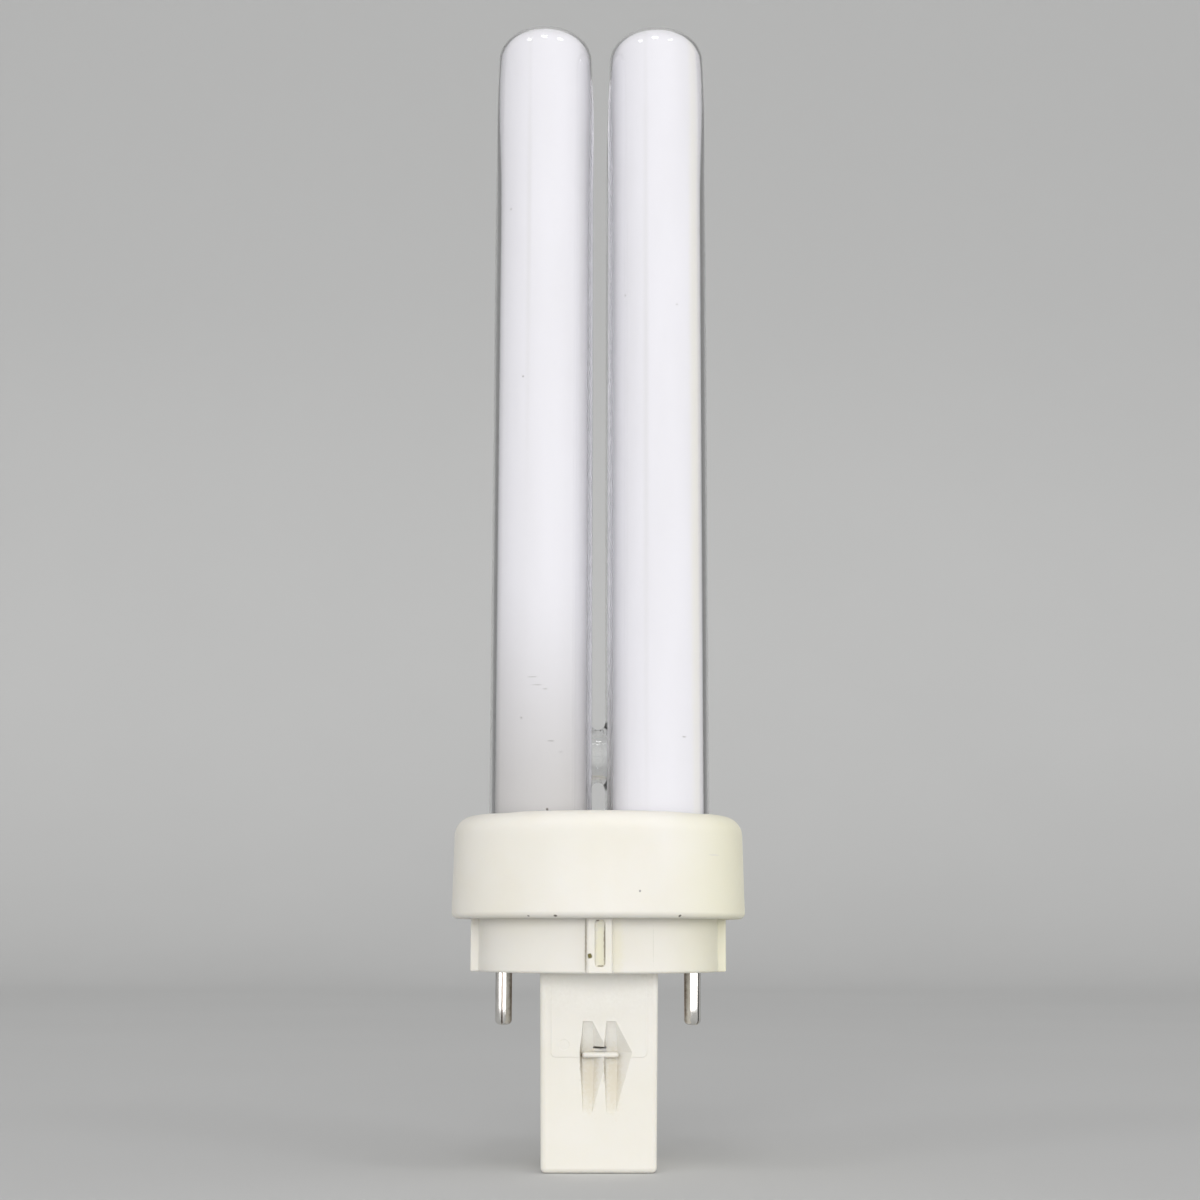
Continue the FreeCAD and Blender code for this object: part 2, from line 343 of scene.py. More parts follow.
class Wiring:
    """A node tree, with short calls to add and join nodes."""

    def __init__(self, tree: Tree) -> None:
        """Takes the tree that the calls add to."""
        self.tree = tree

    def fill(self, node: Node, inputs: Inputs) -> None:
        """Joins or sets inputs of a node.

        Args:
            node: whose inputs.
            inputs: a socket or a plain value for each name or number.
        """
        for key, value in inputs.items():
            if isinstance(value, Socket):
                self.tree.links.new(value, node.inputs[key])
            else:
                node.inputs[key].default_value = value

    def add(self, kind: str, inputs: Inputs | None = None, **choices: object) -> Node:
        """Adds a node.

        Args:
            kind: its type, without the word that all types start with.
            inputs: a socket or a plain value for each name or number.
            choices: its own settings.

        Returns:
            The node.
        """
        node = self.tree.nodes.new("ShaderNode" + kind)
        for name, choice in choices.items():
            setattr(node, name, choice)
        self.fill(node, inputs or {})
        return node

    def math(self, operation: str, first: object, second: object) -> Socket:
        """Works out a value from two sockets or numbers."""
        return self.add("Math", {0: first, 1: second}, operation=operation).outputs["Value"]

    def vector(self, operation: str, inputs: Inputs, output: str = "Vector") -> Socket:
        """Works out a vector, or a value from vectors."""
        return self.add("VectorMath", inputs, operation=operation).outputs[output]

    def remap(self, source: Socket, low: float, high: float, start: object = 0.0, stop: object = 1.0,
              curve: str = "LINEAR") -> Socket:
        """Maps a value from start and stop to low and high."""
        ends = {"Value": source, "From Min": start, "From Max": stop, "To Min": low, "To Max": high}
        return self.add("MapRange", ends, interpolation_type=curve).outputs["Result"]


class Effect(Wiring):
    """A node group with one output, worked out from the surface's place in millimetres."""

    def __init__(self, name: str, output: str, **inputs: float | Point) -> None:
        """Starts the group.

        Args:
            name: of the group.
            output: name of its one value.
            inputs: default of each input, one number or three.
        """
        super().__init__(bpy.data.node_groups.new(name, "ShaderNodeTree"))
        sockets = self.tree.interface
        for label, default in inputs.items():
            kind = "NodeSocketVector" if isinstance(default, tuple) else "NodeSocketFloat"
            sockets.new_socket(label, in_out="INPUT", socket_type=kind).default_value = default
        sockets.new_socket(output, in_out="OUTPUT", socket_type="NodeSocketFloat")
        self.given = self.tree.nodes.new("NodeGroupInput").outputs
        self.target = self.tree.nodes.new("NodeGroupOutput")
        surface = self.add("TexCoord").outputs["Object"]
        self.place = self.vector("SCALE", {0: surface, "Scale": 1.0 / MM})

    def close(self, result: Socket) -> Tree:
        """Puts out the result and returns the group."""
        self.fill(self.target, {0: result})
        return self.tree


class Effects:
    """Node groups that more than one finish uses."""

    rim: float = 1.4

    def __init__(self) -> None:
        """Builds every group once."""
        self.mottle = self._mottle()
        self.speck = self._speck()
        self.dust = self._dust()
        self.reach = self._reach()

    @staticmethod
    def _mottle() -> Tree:
        """Soft cloudy variation, stretched along the axes.

        Returns:
            The group.
        """
        effect = Effect("mottle", "Value", Size=2.0, Detail=3.0, Stretch=(1.0, 1.0, 1.0))
        drawn = effect.vector("DIVIDE", {0: effect.place, 1: effect.given["Stretch"]})
        rate = effect.math("DIVIDE", 1.0, effect.given["Size"])
        noise = effect.add("TexNoise", {"Vector": drawn, "Scale": rate, "Detail": effect.given["Detail"]})
        return effect.close(noise.outputs["Fac"])

    def _speck(self) -> Tree:
        """One spot with a ragged rim, at a place in millimetres, for dirt and for painted shade, light and
        reflections.

        Returns:
            The group.
        """
        effect = Effect("speck", "Mask", Centre=(0.0, 0.0, 0.0), Radius=0.25, Stretch=(1.0, 1.0, 1.0),
                        Softness=0.25)
        away = effect.vector("SUBTRACT", {0: effect.place, 1: effect.given["Centre"]})
        squeezed = effect.vector("DIVIDE", {0: away, 1: effect.given["Stretch"]})
        length = effect.vector("LENGTH", {0: squeezed}, "Value")
        share = effect.math("DIVIDE", length, effect.given["Radius"])
        noise = effect.add("TexNoise", {"Vector": effect.place, "Scale": 3.0, "Detail": 2.0})
        rough = effect.math("ADD", share, noise.outputs["Fac"])
        inner, outer = (effect.math(way, self.rim, effect.given["Softness"]) for way in ("SUBTRACT", "ADD"))
        return effect.close(effect.remap(rough, 1.0, 0.0, inner, outer, "SMOOTHSTEP"))

    @staticmethod
    def _dust() -> Tree:
        """Scattered pin-prick specks.

        Returns:
            The group.
        """
        effect = Effect("dust", "Mask", Spacing=3.0, Share=0.2, Radius=0.03)
        rate = effect.math("DIVIDE", 1.0, effect.given["Spacing"])
        cells = effect.add("TexVoronoi", {"Vector": effect.place, "Scale": rate}).outputs
        near = effect.math("LESS_THAN", cells["Distance"], effect.given["Radius"])
        chance = effect.add("SeparateColor", {"Color": cells["Color"]}).outputs["Red"]
        some = effect.math("LESS_THAN", chance, effect.given["Share"])
        return effect.close(effect.math("MULTIPLY", near, some))

    @staticmethod
    def _reach() -> Tree:
        """A ramp along a direction, from 0 at start to 1 at stop, in millimetres.

        Returns:
            The group.
        """
        effect = Effect("reach", "Value", Direction=(0.0, 0.0, 1.0), Start=0.0, Stop=1.0)
        along = effect.vector("DOT_PRODUCT", {0: effect.place, 1: effect.given["Direction"]}, "Value")
        start, stop = effect.given["Start"], effect.given["Stop"]
        return effect.close(effect.remap(along, 0.0, 1.0, start, stop, "SMOOTHSTEP"))


@dataclass(frozen=True)
class Spot:
    """One spot, for dirt and for painted shade, light and reflections: place and radius in millimetres,
    colour, stretch, and softness of its rim.
    """

    centre: Point
    radius: float
    colour: Colour
    stretch: Point = (1.0, 1.0, 1.0)
    softness: float = 0.25


class Shade(Wiring):
    """A material with one Principled shader, and short calls to feed it."""

    def __init__(self, name: str, effects: Effects) -> None:
        """Starts the material.

        Args:
            name: of the material.
            effects: the shared node groups.
        """
        self.material = bpy.data.materials.new(name)
        self.material.use_nodes = True
        super().__init__(self.material.node_tree)
        self.effects = effects
        self.tree.nodes.clear()
        self.shader = self.add("BsdfPrincipled")
        self.output = self.add("OutputMaterial", {"Surface": self.shader.outputs["BSDF"]})

    def set(self, **values: object) -> None:
        """Sets or feeds sockets of the shader, named with _ in place of spaces."""
        self.fill(self.shader, {name.replace("_", " "): value for name, value in values.items()})

    def effect(self, group: Tree, **values: object) -> Socket:
        """Places a shared effect with its inputs set, and returns its output."""
        return self.add("Group", values, node_tree=group).outputs[0]

    def mottle(self, size: float, detail: float, upright: float = 1.0) -> Socket:
        """Cloudy variation, drawn out upright by a factor."""
        return self.effect(self.effects.mottle, Size=size, Detail=detail, Stretch=(1.0, 1.0, upright))

    def dust(self, spacing: float, share: float, radius: float) -> Socket:
        """Mask of scattered specks."""
        return self.effect(self.effects.dust, Spacing=spacing, Share=share, Radius=radius)

    def reach(self, direction: Point, start: float, stop: float) -> Socket:
        """Ramp along a direction, in millimetres."""
        return self.effect(self.effects.reach, Direction=direction, Start=start, Stop=stop)

    def blend(self, mask: Socket, first: Socket | Colour, second: Socket | Colour) -> Socket:
        """Mixes two colours by a mask: 0 gives the first, 1 the second."""
        sides = [side if isinstance(side, Socket) else (*side, 1.0) for side in (first, second)]
        return self.add("Mix", {0: mask, 6: sides[0], 7: sides[1]}, data_type="RGBA").outputs[2]

    def coat(self, colour: Socket, spots: Iterable[Spot]) -> None:
        """Lays spots over a colour and gives it to the shader.

        Args:
            colour: under the spots.
            spots: in order.
        """
        for spot in spots:
            mask = self.effect(self.effects.speck, Centre=spot.centre, Radius=spot.radius,
                               Stretch=spot.stretch, Softness=spot.softness)
            colour = self.blend(mask, colour, spot.colour)
        self.set(Base_Color=colour)

    def bump(self, height: Socket, strength: float, depth: float) -> None:
        """Raises the surface by a height map, up to a depth in metres."""
        node = self.add("Bump", {"Strength": strength, "Distance": depth, "Height": height})
        self.set(Normal=node.outputs["Normal"])


@dataclass(frozen=True)
class Finish:
    """A material that is made from the shared effects."""

    name: str
    spots: tuple[Spot, ...] = field(default=(), kw_only=True)

    def build(self, effects: Effects) -> Material:
        """Makes the material.

        Args:
            effects: the shared node groups.

        Returns:
            The finished material.
        """
        shade = Shade(self.name, effects)
        self.paint(shade)
        return shade.material

    def paint(self, shade: Shade) -> None:
        """Adds the finish's own nodes."""
        raise NotImplementedError


@dataclass(frozen=True)
class PlasticFinish(Finish):
    """Cream white moulded plastic with a satin skin."""

    colour: Colour = (0.745, 0.725, 0.675)
    shade: Colour = (0.71, 0.685, 0.61)
    side_tint_and_painted_shade: Colour = (0.73, 0.71, 0.57)
    dust_colour: Colour = (0.35, 0.32, 0.27)
    smooth: float = 0.36
    rough: float = 0.5

    def paint(self, shade: Shade) -> None:
        """Cloudy cream that yellows to the right, with dust, spots and a fine grain.

        Args:
            shade: the material's nodes.
        """
        cloud = shade.remap(shade.mottle(size=9.0, detail=4.0), 0.0, 1.0, 0.35, 0.75)
        colour = shade.blend(cloud, self.colour, self.shade)
        right = shade.reach((1.0, 0.0, 0.0), start=6.0, stop=16.0)
        colour = shade.blend(right, colour, self.side_tint_and_painted_shade)
        dust = shade.dust(spacing=2.6, share=0.10, radius=0.022)
        shade.coat(shade.blend(dust, colour, self.dust_colour), self.spots)
        fine = shade.mottle(size=1.4, detail=3.0)
        shade.set(Roughness=shade.remap(fine, self.smooth, self.rough, 0.3, 0.7))
        shade.bump(shade.mottle(size=0.22, detail=2.0), strength=0.25, depth=0.00002)
        shade.set(IOR=1.5, Subsurface_Weight=0.12, Subsurface_Scale=0.0007, Subsurface_Radius=(1.0, 0.8, 0.5))


@dataclass(frozen=True)
class GlassFinish(Finish):
    """Clear drawn glass. Lamp light passes it, so that the powder behind is lit."""

    colour: Colour = (0.97, 0.975, 0.975)

    def paint(self, shade: Shade) -> None:
        """Faint smears and drawing lines on clear glass.

        Args:
            shade: the material's nodes.
        """
        shade.set(Base_Color=(*self.colour, 1.0), IOR=1.5, Transmission_Weight=1.0)
        smear_and_painted_reflection = shade.mottle(size=6.0, detail=4.0, upright=5.0)
        shade.set(Roughness=shade.remap(smear_and_painted_reflection, 0.015, 0.07, 0.45, 0.8))
        shade.bump(shade.mottle(size=3.0, detail=1.0, upright=30.0), strength=0.05, depth=0.00005)
        clear = shade.add("BsdfTransparent").outputs["BSDF"]
        path = shade.add("LightPath").outputs
        surface = shade.shader.outputs["BSDF"]
        for ray in ("Is Shadow Ray", "Is Diffuse Ray"):
            surface = shade.add("MixShader", {0: path[ray], 1: surface, 2: clear}).outputs["Shader"]
        shade.fill(shade.output, {"Surface": surface})


@dataclass(frozen=True)
class PowderFinish(Finish):
    """Matt white powder behind the glass, with painted shade greying it low on the left by the collar."""

    colour: Colour = (0.70, 0.69, 0.735)
    thin: Colour = (0.675, 0.665, 0.705)
    side_tint_and_painted_shade: Colour = (0.44, 0.425, 0.42)
    dust_colour: Colour = (0.5, 0.5, 0.52)

    def paint(self, shade: Shade) -> None:
        """Streaky white with painted shade low on the left, dust, spots and a fine grain.

        Args:
            shade: the material's nodes.
        """
        streak = shade.remap(shade.mottle(size=3.5, detail=3.0, upright=7.0), 0.0, 1.0, 0.35, 0.7)
        colour = shade.blend(streak, self.colour, self.thin)
        # Painted shade: the powder greys low on the left tube, by the collar.
        low = shade.reach((0.0, 0.0, -1.0), start=-48.0, stop=-16.0)
        left = shade.reach((-1.0, 0.0, 0.0), start=-3.0, stop=4.0)
        both = shade.math("MULTIPLY", low, left)
        colour = shade.blend(shade.remap(both, 0.0, 0.9), colour, self.side_tint_and_painted_shade)
        dust = shade.dust(spacing=3.4, share=0.10, radius=0.02)
        shade.coat(shade.blend(dust, colour, self.dust_colour), self.spots)
        shade.set(Roughness=0.95, Specular_IOR_Level=0.05)
        shade.bump(shade.mottle(size=0.3, detail=2.0), strength=0.3, depth=0.00002)


@dataclass(frozen=True)
class MetalFinish(Finish):
    """Plated or drawn metal with faint lines along it."""

    colour: Colour = (0.78, 0.765, 0.74)
    dull: Colour = (0.60, 0.575, 0.54)
    smooth: float = 0.06
    rough: float = 0.16

    def paint(self, shade: Shade) -> None:
        """Cloudy metal with spots and fine upright lines.

        Args:
            shade: the material's nodes.
        """
        cloud = shade.remap(shade.mottle(size=0.8, detail=3.0, upright=2.5), 0.0, 1.0, 0.45, 0.8)
        shade.coat(shade.blend(cloud, self.colour, self.dull), self.spots)
        drawn = shade.mottle(size=0.12, detail=2.0, upright=14.0)
        shade.set(Metallic=1.0, Roughness=shade.remap(drawn, self.smooth, self.rough, 0.3, 0.7))
        shade.bump(drawn, strength=0.1, depth=0.000005)


@dataclass(frozen=True)
class ResinFinish(Finish):
    """Dipped resin skin of the hidden capacitor."""

    colour: Colour = (0.42, 0.10, 0.045)
    deep: Colour = (0.30, 0.06, 0.03)

    def paint(self, shade: Shade) -> None:
        """Cloudy red brown with a wavy gloss.

        Args:
            shade: the material's nodes.
        """
        cloud = shade.mottle(size=1.6, detail=3.0)
        shade.coat(shade.blend(cloud, self.colour, self.deep), self.spots)
        shade.set(Roughness=shade.remap(cloud, 0.18, 0.35))
        shade.bump(cloud, strength=0.3, depth=0.00008)


def dress(piece: Piece, material: Material) -> None:
    """Gives a piece or CAD node one material.

    Args:
        piece: its object.
        material: the finish.
    """
    piece.data.materials.clear()
    piece.data.materials.append(material)
    for polygon in piece.data.polygons:
        polygon.material_index = 0


def settle(piece: Piece, slot: str, *nodes: str) -> Piece:
    """Lets a piece ride on the lamp and stand for CAD nodes, which it hides, and logs its finish slot.

    Args:
        piece: the new object.
        slot: the record's material slot.
        nodes: CAD nodes that it replaces.

    Returns:
        The piece.
    """
    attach(piece, BODY)
    if nodes:
        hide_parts(*nodes)
    LOG.info("%s: %d faces, slot %s", piece.name, len(piece.data.polygons), slot)
    return piece


class Assembly:
    """A part of the lamp, which builds its pieces and then gives them their finishes."""

    pieces: list[Piece]

    def build(self) -> None:
        """Makes the pieces."""
        raise NotImplementedError

    def dress(self, *finishes: Material) -> None:
        """Gives each piece its finish in turn. The last finish is for all pieces that remain."""
        for k, piece in enumerate(self.pieces):
            dress(piece, finishes[min(k, len(finishes) - 1)])


@dataclass
class GlassTubes(Assembly):
    """The sealed glass with its four legs and three bridges, and the powder inside it. Millimetres."""

    pitch: float = 13.75
    radius: float = 6.0
    wall: float = 0.64
    tip_wall: float = 0.24
    thin_from: float = 22.0
    thin_to: float = 4.0
    powder_gap: float = 0.03
    tip: float = 115.25
    dome_height: float = 4.35
    dome_fullness: float = 2.35
    taper_length: float = 9.0
    taper: float = 0.2
    foot: float = 11.6
    foot_round: float = 2.4
    neck: float = 3.3
    neck_walls: float = 1.35
    flare: float = 1.1
    flare_pull: float = 1.3
    top_bridge: float = 103.25
    low_bridge: float = 26.2
    columns: int = 96
    row_height: float = 3.5
    top_row_height: float = 1.0
    block: int = 30
    block_reach: float = 5.0
    spread_steps: int = 4
    flare_steps: int = 9
    dome_steps: int = 14
    foot_steps: int = 5
    pinch_low: Point = (-3.2, -1.1, 8.2)
    pinch_high: Point = (3.2, 1.1, 12.6)
    pinch_round: float = 0.6
    sharp: float = 80.0

    def build(self) -> None:
        """Makes the glass skin pair with its pinch seals, and the powder skin."""
        half = self.pitch / 2
        glass = Sketch()
        for layer in (Layer.OUTER, Layer.INNER):
            self._skin(glass, layer)
        for side in Side:
            corners = ((x + side.value * half, y - half, z) for x, y, z in (self.pinch_low, self.pinch_high))
            glass.rounded_block(*corners, self.pinch_round, 3)
        powder = Sketch()
        self._skin(powder, Layer.POWDER)
        self.pieces = [settle(glass.piece("glass_envelope", self.sharp), "coated_glass", "discharge_tube"),
                       settle(powder.piece("powder_coat", self.sharp), "coated_glass")]

    def _skin(self, sketch: Sketch, layer: Layer) -> None:
        """Draws one skin of all four legs. Bridges join the legs of the glass, but not those of the powder.

        Args:
            sketch: where it goes.
            layer: which skin. The inner one faces inward.
        """
        sketch.inward = layer is Layer.INNER
        half = self.pitch / 2
        quarter = self.columns // 4
        for sx in (-1, 1):
            for sy in (-1, 1):
                mouths = [(quarter if sy < 0 else 3 * quarter, self.top_bridge)]
                if sy > 0:
                    mouths.append((0 if sx < 0 else 2 * quarter, self.low_bridge))
                self._leg(sketch, (sx * half, sy * half), [] if layer is Layer.POWDER else mouths, layer)

    def _heights(self) -> list[float]:
        """Spaces the rows of the straight stretch of a leg, closest at the bridges.

        Returns:
            The heights, from the foot up.
        """
        marks = [self.foot + self.foot_round]
        for centre in (self.low_bridge, self.top_bridge):
            base, low = marks[-1], centre - self.block_reach
            steps = max(1, round((low - base) / self.row_height))
            marks += [base + (low - base) * k / steps for k in range(1, steps)]
            marks += [low + 2 * self.block_reach * k / self.block for k in range(self.block + 1)]
        base, stop = marks[-1], self.tip - self.dome_height
        steps = max(1, round((stop - base) / self.top_row_height))
        return marks + [base + (stop - base) * k / steps for k in range(1, steps + 1)]

    def _depth(self, layer: Layer, z: float) -> float:
        """Depth of a skin. The wall gets thinner towards the tip.

        Args:
            layer: which skin.
            z: the height.

        Returns:
            How far it lies inside the outer glass.
        """
        walls, gaps = layer.value
        share = min(max((z - self.tip + self.thin_from) / (self.thin_from - self.thin_to), 0.0), 1.0)
        thinned = share * share * (3 - 2 * share)
        return walls * (self.wall + (self.tip_wall - self.wall) * thinned) + gaps * self.powder_gap

    def _radius_at(self, z: float, layer: Layer) -> float:
        """Radius of a leg's skin on the straight stretch.

        Args:
            z: the height.
            layer: which skin.

        Returns:
            The radius.
        """
        start = self.tip - self.dome_height - self.taper_length
        share = min(max((z - start) / self.taper_length, 0.0), 1.0)
        return self.radius - self._depth(layer, z) - self.taper * share * share

    def _leg(self, sketch: Sketch, centre: Flat, mouths: Sequence[tuple[int, float]], layer: Layer) -> None:
        """Draws one leg with the mouths of its bridges.

        Args:
            sketch: where it goes.
            centre: place of the leg's axis.
            mouths: column and height of the middle of each bridge.
            layer: which skin.
        """
        depth = self._depth(layer, self.foot)
        foot, curl = self.foot + depth, self.foot_round - depth
        heights = self._heights()
        rows = arc((self.radius - depth - curl, foot + curl), curl, -90, 0, self.foot_steps)[:-1]
        first = len(rows)
        rows += [(self._radius_at(z, layer), z) for z in heights]
        neck, spring = rows[-1]
        tip = self.tip - self._depth(layer, self.tip)
        power = 2 / self.dome_fullness
        for k in range(1, self.dome_steps):
            turn = pi / 2 * k / self.dome_steps
            rows.append((neck * cos(turn) ** power, spring + (tip - spring) * sin(turn) ** power))
        grid = [sketch.ring(radius, z, self.columns, centre) for radius, z in rows]
        open_cells: set[tuple[int, int]] = set()
        reach = self.block // 2
        for column, z in mouths:
            row = first + min(range(len(heights)), key=lambda k: abs(heights[k] - z))
            open_cells |= {(row + i, (column + j) % self.columns)
                           for i in range(-reach, reach) for j in range(-reach, reach)}
            self._mouth(sketch, grid, row, column, centre, z, layer)
        for i in range(len(rows) - 1):
            for k in range(self.columns):
                if (i, k) not in open_cells:
                    after = (k + 1) % self.columns
                    sketch.face(grid[i][k], grid[i][after], grid[i + 1][after], grid[i + 1][k])
        sketch.join([sketch.point(*centre, foot)], grid[0])
        sketch.join(grid[-1], [sketch.point(*centre, tip)])

    def _mouth(self, sketch: Sketch, grid: list[list[int]], row: int, column: int,
               centre: Flat, z: float, layer: Layer) -> None:
        """Draws half of a bridge: from a square of a leg's skin to a round neck half way to its neighbour.

        Args:
            sketch: where it goes.
            grid: the leg's points, row by row.
            row, column: middle of the square.
            centre: place of the leg's axis.
            z: height of the bridge.
            layer: which skin.
        """
        reach = self.block // 2
        corners = ((0, reach), (reach, reach), (reach, -reach), (-reach, -reach), (-reach, reach), (0, reach))
        edge: list[tuple[int, int]] = []
        for (i, j), (next_i, next_j) in zip(corners, corners[1:]):
            count = max(abs(next_i - i), abs(next_j - j))
            edge += [(i + (next_i - i) * k // count, j + (next_j - j) * k // count) for k in range(count)]
        turns = [2 * pi * k / len(edge) for k in range(len(edge))]
        step = 2 * pi / self.columns
        rise = 2 * self.block_reach / self.block
        ahead = (cos(step * column), sin(step * column))
        half = self.pitch / 2
        neck = self.neck - self.neck_walls * self._depth(layer, z)
        mouth = neck + self.flare

        def place(out: float, side: float, up: float) -> int:
            """Point at a distance from the leg's axis towards the neighbour, and to the side and up."""
            return sketch.point(centre[0] + out * ahead[0] - side * ahead[1],
                                centre[1] + out * ahead[1] + side * ahead[0], z + up)

        rings = [[grid[row + i][(column + j) % self.columns] for i, j in edge]]
        # From the square on the leg's skin to a round mouth on it.
        for s in range(1, self.spread_steps + 1):
            share = s / self.spread_steps
            ring = []
            for turn, (i, j) in zip(turns, edge):
                up = i * rise * (1 - share) + mouth * sin(turn) * share
                skin = self._radius_at(z + up, layer)
                angle = j * step * (1 - share) + asin(mouth * cos(turn) / skin) * share
                ring.append(place(skin * cos(angle), skin * sin(angle), up))
            rings.append(ring)
        # From the mouth to the neck, on a curve that leaves along the skin and arrives along the bridge.
        for s in range(1, self.flare_steps + 1):
            t = s / self.flare_steps
            leave, arrive = t ** 3 - 2 * t ** 2 + t, t ** 3 - t ** 2
            late = 3 * t ** 2 - 2 * t ** 3
            early = 1 - late
            ring = []
            for turn in turns:
                side, up = cos(turn), sin(turn)
                out = sqrt(self._radius_at(z + mouth * up, layer) ** 2 - (mouth * side) ** 2)
                pull = self.flare_pull * hypot(half - out, self.flare)
                radius = early * mouth - leave * pull + late * neck
                far = early * out + leave * pull * mouth * side ** 2 / out + late * half + arrive * pull
                ring.append(place(far, radius * side, radius * up))
            rings.append(ring)
        sketch.chain(rings)


@dataclass
class Collar(Assembly):
    """The round moulded cup that holds the glass. Millimetres."""

    lip_radius: float = 17.47
    draft: float = 0.22
    bottom: float = 6.15
    top: float = 18.35
    top_round: float = 2.3
    lip_round: float = 0.75
    bore: float = 15.87
    roof: float = 2.0
    crown: float = 0.12
    socket_gap: float = 0.06
    socket_bevel: float = 0.16
    pitch: float = 13.75
    tube_radius: float = 6.0
    segments: int = 192
    socket_segments: int = 96

    def build(self) -> None:
        """Turns the cup and cuts a socket for each leg."""
        flat = self.lip_radius - self.draft - self.top_round
        ceiling, rim = self.top - self.roof, self.top - self.crown
        profile = [(0.0, ceiling), (self.bore, ceiling), (self.bore, self.bottom)]
        lip = (self.lip_radius - self.lip_round, self.bottom + self.lip_round)
        profile += arc(lip, self.lip_round, -90, 0, 10)
        profile += arc((flat, rim - self.top_round), self.top_round, 0, 90, 14)
        profile += [(flat * share, self.top - self.crown * share ** 2) for share in (0.8, 0.6, 0.4, 0.2, 0.0)]
        cup = Sketch().lathe(profile, self.segments).piece("collar_cup", sharp_degrees=30.0)
        bore = self.tube_radius + self.socket_gap
        mouth = bore + self.socket_bevel
        low, high = self.top - 2 * self.roof, self.top + 1.0
        socket = [(0.0, low), (bore, low), (bore, rim - self.socket_bevel), (mouth, self.top),
                  (mouth, high), (0.0, high)]
        half = self.pitch / 2
        places = [(x, y) for x in (-half, half) for y in (-half, half)]
        combine(cup, [Sketch().lathe(socket, self.socket_segments, place) for place in places], Join.CUT)
        shade_evenly(cup)
        self.pieces = [settle(cup, "collar_plastic", "base_collar")]


@dataclass
class RolledPins(Assembly):
    """The two contact pins, rolled from sheet with a seam along the front. Millimetres."""

    spacing: float = 22.4
    radius: float = 1.0
    length: float = 6.2
    nose_round: float = 0.6
    neck_radius: float = 0.85
    floor: float = 1.6
    head_radius: float = 1.45
    head: float = 0.5
    head_bevel: float = 0.2
    seam: float = 0.09
    seam_depth: float = 0.3
    notch: float = 0.16
    notch_height: float = 0.55
    seam_turn: Flat = (-9.0, 40.0)
    sides: int = 44

    def build(self) -> None:
        """Makes both pins."""
        self.pieces = []
        for side, turn in zip(Side, self.seam_turn):
            name = side.name.lower()
            sketch = self._pin(side.value * self.spacing / 2, radians(turn - 90.0))
            pin = sketch.piece("rolled_pin_" + name, sharp_degrees=40.0)
            self.pieces.append(settle(pin, "pin_nickel", "contact_pin_" + name))

    def _pin(self, x: float, front: float) -> Sketch:
        """Draws one pin about an upright axis.

        Args:
            x: place of the axis.
            front: direction of the seam, in radians.

        Returns:
            Its sketch.
        """
        sketch = Sketch()
        nose, top = -self.length, self.floor + self.head
        rows = arc((self.radius - self.nose_round, nose + self.nose_round), self.nose_round, -90, 0, 8)
        rows += [(self.radius, z) for z in (-4.2, -2.8, -1.4, 0.0)]
        rows += [(self.neck_radius, 0.0), (self.neck_radius, self.floor), (self.head_radius, self.floor),
                 (self.head_radius, self.floor + self.head * 0.6), (self.head_radius - self.head_bevel, top)]
        rings = []
        for radius, z in rows:
            rise = max(0.0, 1.0 - (z - nose) / self.notch_height)
            half = (self.seam + (self.notch - self.seam) * rise) / self.radius
            depth = min(self.seam_depth, 0.6 * radius) if z <= 0.0 else 0.0
            turns = [(front - half * 0.8, depth), (front + half * 0.8, depth)]
            sweep = 2 * pi - 2 * half
            turns += [(front + half + sweep * k / self.sides, 0.0) for k in range(self.sides + 1)]
            rings.append([sketch.point(x + (radius - d) * cos(t), (radius - d) * sin(t), z)
                          for t, d in turns])
        sketch.chain(rings)
        sketch.join([sketch.point(x, 0.0, nose)], rings[0])
        sketch.join(rings[-1], [sketch.point(x, 0.0, top)])
        return sketch


